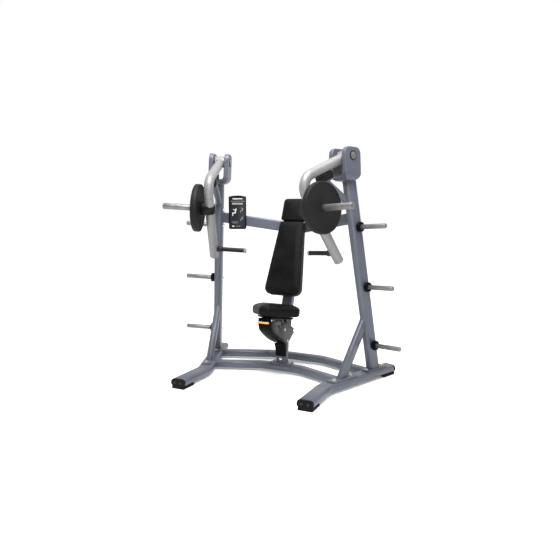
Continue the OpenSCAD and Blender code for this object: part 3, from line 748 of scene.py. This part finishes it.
def make_beads():
    for side, sign in SIDES:
        mine = lambda co, s=sign: co.x * s > 0
        joints = [
            ("front_crossbar", f"rail_{side}"), ("rear_crossbar", f"rail_{side}"),
            (f"upright_{side}", "base_plates"), (f"brace_{side}", "base_plates"),
            (f"brace_{side}", f"upright_{side}"), (f"upright_{side}", f"yoke_{side}"),
            ("upper_crossbeam", f"upright_{side}"), ("stop_brackets", f"upright_{side}")]
        for tube, base in joints:
            short = tube.replace(f"_{side}", "")
            weld_bead(f"bead_{short}_to_{base}_{side}", tube, base, keep=mine)
    weld_bead("bead_back_post", "back_post", "upper_crossbeam")


def make_bar_ends():
    """A turned plug with a groove, in the end of each horn and peg."""
    for mount in frame["record"]["mounts"]:
        if mount["kind"] != "pin":
            continue
        axis = Vector(mount["axis"])
        r = mount["dims"]["r_mm"] * MM
        end = Vector(mount["pos_m"]) + axis * (mount["dims"]["length_mm"] / 2 * MM + 0.003)
        profile = [(r * 0.80, -0.001), (r * 0.80, 0.0006), (r * 0.74, 0.0014), (r * 0.60, 0.0014),
                   (r * 0.56, 0.0004), (r * 0.46, 0.0004), (r * 0.42, 0.0012), (0, 0.0016)]
        side = "right" if mount["pos_m"][0] > 0 else "left"
        body = f"arm_{side}" if "horn" in mount["name"] else "frame"
        plug = turned_mesh(mount["name"], end, axis, profile)
        add_object(f"{mount['name']}_plug", plug, "steel", body)


# ---------- small fittings ----------

def flat_shape(outline, place, thickness):
    """A thin prism: outline points in the place's own x and y, standing up along its z."""
    work = bmesh.new()
    low = [work.verts.new(place @ Vector((x, y, 0))) for x, y in outline]
    high = [work.verts.new(place @ Vector((x, y, thickness))) for x, y in outline]
    work.faces.new(low[::-1])
    work.faces.new(high)
    for k in range(len(low)):
        l = (k + 1) % len(low)
        work.faces.new((low[k], low[l], high[l], high[k]))
    mesh = bpy.data.meshes.new("flat_shape")
    work.to_mesh(mesh)
    work.free()
    return mesh


def joined(name, meshes, look, body, smooth=False):
    """One piece made of several meshes."""
    work = bmesh.new()
    for mesh in meshes:
        work.from_mesh(mesh)
    add_object(name, finished(name, work), look, body, smooth)


def capsule(a, b, r, sides=10):
    """Outline of a stroke with round ends from a to b."""
    a, b = Vector(a), Vector(b)
    turn = math.atan2(b.y - a.y, b.x - a.x)
    points = []
    for centre, start in ((b, turn - math.pi / 2), (a, turn + math.pi / 2)):
        for k in range(sides + 1):
            angle = start + math.pi * k / sides
            points.append((centre.x + r * math.cos(angle), centre.y + r * math.sin(angle)))
    return points


def box_outline(x, y, w, h):
    return [(x - w / 2, y - h / 2), (x + w / 2, y - h / 2), (x + w / 2, y + h / 2),
            (x - w / 2, y + h / 2)]


def placard_place():
    """Axes on the front of the printed panel, from its largest flat face."""
    mesh = NODES["placard_panel"].data
    face = max(mesh.polygons, key=lambda f: (f.normal.y < -0.5) * f.area)
    out = face.normal.normalized()
    up = Vector((0, 0, 1))
    across = up.cross(out).normalized()
    points = [v.co for v in mesh.vertices]
    front = max(p.dot(out) for p in points)
    spans = [(min(p.dot(axis) for p in points) + max(p.dot(axis) for p in points)) / 2
             for axis in (across, up)]
    centre = across * spans[0] + up * spans[1] + out * (front + 0.0001)
    return axes(across, up, out, centre)


def figure(x, y, size, lean, raised):
    """Strokes of a generic seated person with pushing arms, as outlines in millimetres."""
    hip = (x, y)
    neck = (x + size * 0.42 * math.sin(lean), y + size * 0.42 * math.cos(lean))
    head = (x + size * 0.56 * math.sin(lean), y + size * 0.58 * math.cos(lean))
    knee = (x - size * 0.34, y + size * 0.02)
    foot = (x - size * 0.32, y - size * 0.36)
    hand = (neck[0] - size * 0.34, neck[1] + size * raised)
    strokes = [(hip, neck, 0.075), (hip, knee, 0.06), (knee, foot, 0.045), (neck, hand, 0.04),
               (head, (head[0] + 0.01, head[1]), 0.085)]
    return [capsule(a, b, size * r) for a, b, r in strokes]


def make_placard():
    place = placard_place() @ Matrix.Scale(MM, 4)
    def draw(outlines):
        return [flat_shape(points, place, 0.35) for points in outlines]
    light = [box_outline(0, 119, 88, 7)]
    light += figure(-22, -6, 62, 0.25, 0.10)
    light += [capsule((-46, -122), (-32, -122), 4)]
    joined("placard_light_print", draw(light), "print_light", "frame")
    dim = [box_outline(0, 98, 122, 3), box_outline(0, 76, 96, 14), box_outline(6, -122, 34, 4)]
    dim += figure(40, 14, 40, 0.30, 0.22) + figure(40, -62, 40, 0.30, -0.02)
    dim += [box_outline(-24, -84, 56, 3), box_outline(-24, -94, 44, 3)]
    joined("placard_dim_print", draw(dim), "print_dim", "frame")


def bolt_mesh(name, place, axis, r, height=0.005):
    """A bolt's head with a washer under it and a socket in it."""
    profile = [(r * 1.5, 0), (r * 1.5, 0.0012), (r * 1.06, 0.0016), (r, height - 0.001),
               (r * 0.86, height), (r * 0.42, height), (r * 0.40, height - 0.0025),
               (0, height - 0.0027)]
    return turned_mesh(name, place, axis, profile, 24)


def make_carriage_details():
    """Painted slot and hole shade, bolts and the latch block on the seat carriage's side plates."""
    for side, sign in SIDES:
        def on_face(outline, y, z, thickness=0.0006):
            out = (sign, 0, 0)
            origin = (SIDE_FACE * sign, y, z)
            return flat_shape(outline, axes((0, sign, 0), (0, 0, 1), out, origin), thickness)
        # Painted shade: thin black shapes on the face stand for the shaded insides of a slot and three round
        # holes; the 3 mm box is the latch block.
        slot_shade_and_latch = [on_face(capsule((0, -0.010), (0, 0.010), 0.0055), 0.047, 0.406)]
        slot_shade_and_latch += [on_face(box_outline(0, 0, 0.072, 0.050), 0.185, 0.4545, 0.003)]
        slot_shade_and_latch += [on_face(capsule((0, 0), (0.0001, 0), r), y, z)
                  for y, z, r in ((0.198, 0.406, 0.0075), (0.244, 0.385, 0.007),
                                  (0.244, 0.354, 0.006))]
        joined(f"carriage_slot_shade_and_latch_{side}", slot_shade_and_latch, "black_plastic", "seat")
        bolts = [bolt_mesh("bolt", (SIDE_FACE * sign, y, z), (sign, 0, 0), r)
                 for y, z, r in ((0.127, 0.390, 0.0085), (-0.131, 0.517, 0.0075),
                                 (0.180, 0.281, 0.0075))]
        joined(f"carriage_bolts_{side}", bolts, "zinc", "seat", True)


def make_pivot_rings():
    """A black ring round each cap of the arm pivots."""
    for joint in frame["joints"]:
        if not joint["name"].startswith("arm_pivot"):
            continue
        side = joint["name"].rsplit("_", 1)[1]
        centre = Vector(joint["pos_m"])
        axis = Vector(joint["axis"]).normalized()
        rings = []
        for end in (-1, 1):
            profile = [(0.0292, 0.0001), (0.0292, 0.0034), (0.0345, 0.0034), (0.0370, 0.0020),
                       (0.0370, 0.0001), (0.0292, 0.0001)]
            rings.append(turned_mesh("ring", centre + axis * end * PIVOT_FACE, axis * end,
                                     profile))
        joined(f"pivot_rings_{side}", rings, "black_plastic", "frame", True)


def make_shoe_screws():
    """Two screws in the front face of each rail end."""
    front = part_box("rail_end_caps")[0].y
    for side, sign in SIDES:
        screws = [bolt_mesh("screw", (sign * (SHOE_X + step), front, 0.049), (0, -1, 0), 0.006,
                            0.003) for step in (-0.026, 0.026)]
        joined(f"shoe_screws_{side}", screws, "side_plate", "frame", True)


MATERIALS = make_materials()
make_camera((1.9551, -3.9140, 1.4086), down=7.565, turn=25.737, lens=34.53)
make_world()
make_floor()
area_light("overhead", (0.6, -1.2, 4.2), (0, 0, 0.6), 3.2, 300)
area_light("front_fill", (3.2, -4.2, 2.6), (0, 0, 0.9), 2.5, 70)

make_pads()
make_seat_board()
make_yokes()
make_shoes()
make_beads()
make_bar_ends()
make_placard()
make_carriage_details()
make_pivot_rings()
make_shoe_screws()
for cad_node in sorted(NODES):
    if cad_node not in REPLACED:
        dress_cad(cad_node)

bpy.context.scene.view_settings.view_transform = "Standard"
